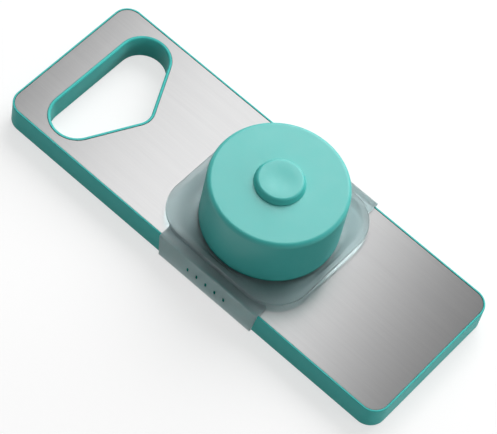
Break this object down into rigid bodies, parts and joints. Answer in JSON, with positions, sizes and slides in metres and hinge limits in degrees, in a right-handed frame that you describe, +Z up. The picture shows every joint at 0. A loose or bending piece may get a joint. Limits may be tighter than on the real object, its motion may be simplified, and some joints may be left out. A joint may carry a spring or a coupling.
{
  "type": "hand grater",
  "caption": "Flat hand grater: moulded board with an inset steel sheet of punched teeth, a hand hole, a sliding carriage and a round pusher over the carriage's well.",
  "frame": {"origin": "middle of the board's underside, on the surface that the board lies on", "axes": "+X along the board's long axis from the hand hole to the plain end, +Y across the board, +Z up out of the steel sheet"},
  "size_m": [0.275, 0.1032, 0.0618],
  "materials": {
    "teal_plastic": "satin moulded",
    "teal_plastic_cap": "satin moulded",
    "brushed_sheet": "fine brushed",
    "frosted_plastic": "frosted translucent",
    "white_plastic": "satin moulded",
    "plain_steel": "bright"
  },
  "bodies": {
    "board": {"board_body": "teal_plastic", "steel_sheet": "brushed_sheet"},
    "slider": {"carriage": "frosted_plastic"},
    "pusher": {"food_holder": "white_plastic", "holder_screw": "plain_steel", "holder_pin_01": "plain_steel", "holder_pin_02": "plain_steel", "holder_pin_03": "plain_steel", "holder_pin_04": "plain_steel", "holder_pin_05": "plain_steel", "holder_pin_06": "plain_steel", "holder_pin_07": "plain_steel", "holder_pin_08": "plain_steel", "holder_pin_09": "plain_steel", "holder_pin_10": "plain_steel", "holder_pin_11": "plain_steel", "holder_pin_12": "plain_steel", "holder_pin_13": "plain_steel", "holder_pin_14": "plain_steel", "holder_pin_15": "plain_steel", "holder_pin_16": "plain_steel", "holder_pin_17": "plain_steel", "holder_pin_18": "plain_steel"},
    "cap": {"pusher_cap": "teal_plastic_cap", "cap_button": "teal_plastic_cap"}
  },
  "joints": [
    {"name": "carriage_slide", "type": "slide", "parent": "board", "child": "slider", "axis": [1, 0, 0], "range_m": [-0.038, 0.07]},
    {"name": "pusher_lift", "type": "slide", "parent": "slider", "child": "pusher", "axis": [0, 0, 1], "range_m": [0, 0.028]},
    {"name": "cap_turn", "type": "hinge", "parent": "pusher", "child": "cap", "pos_m": [0.017, 0, 0.05], "axis": [0, 0, 1], "continuous": true}
  ]
}
